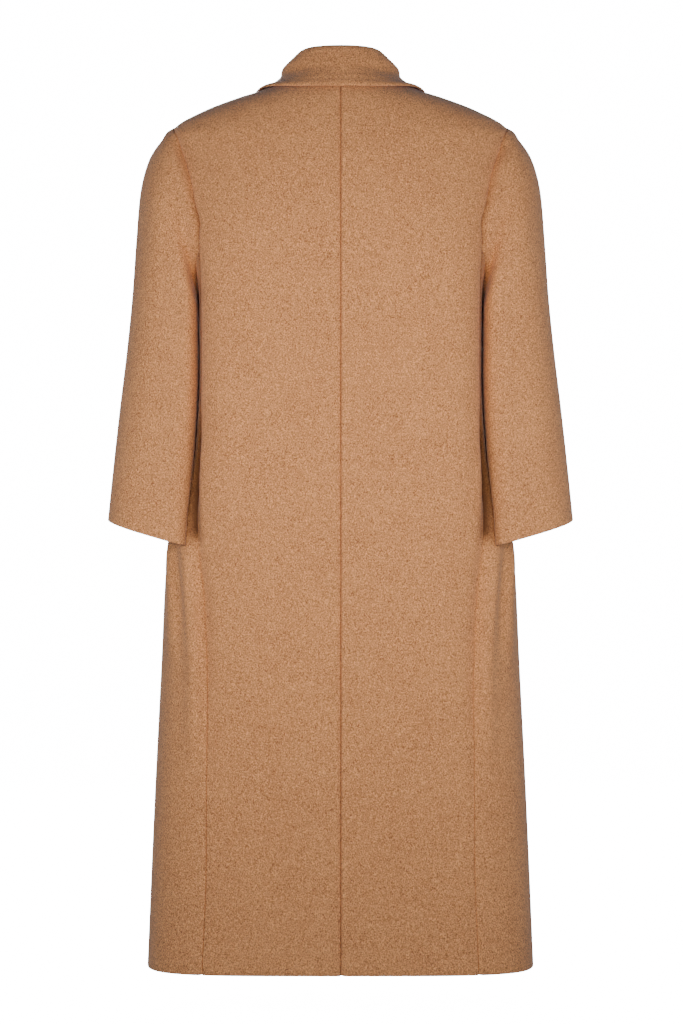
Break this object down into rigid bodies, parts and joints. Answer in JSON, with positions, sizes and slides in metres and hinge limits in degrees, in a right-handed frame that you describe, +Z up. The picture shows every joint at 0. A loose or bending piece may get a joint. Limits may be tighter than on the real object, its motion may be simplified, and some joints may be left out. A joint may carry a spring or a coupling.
{
  "type": "long wool coat",
  "caption": "Long straight wool overcoat in its worn form with no wearer: hollow cloth panels, set-in sleeves, a folded collar with lapels, and a buttoned front.",
  "frame": {"origin": "middle of the neck opening at the height of the neck seam, where the coat is held on the wearer's shoulders", "axes": "+Z up, +Y out of the coat's back, -Y out of its buttoned front, +X to the wearer's left"},
  "size_m": [0.631, 0.3276, 1.2435],
  "materials": {
    "camel_wool": "brushed melange wool coating with a short soft nap, camel brown",
    "brown_button": "polished dark brown horn look"
  },
  "bodies": {
    "root": {"back_left": "camel_wool", "back_right": "camel_wool", "side_left": "camel_wool", "side_right": "camel_wool", "front_left": "camel_wool", "front_right": "camel_wool", "sleeve_left": "camel_wool", "sleeve_right": "camel_wool", "collar": "camel_wool", "lapel_left": "camel_wool", "lapel_right": "camel_wool", "button_1": "brown_button", "button_2": "brown_button", "button_3": "brown_button"}
  },
  "joints": []
}
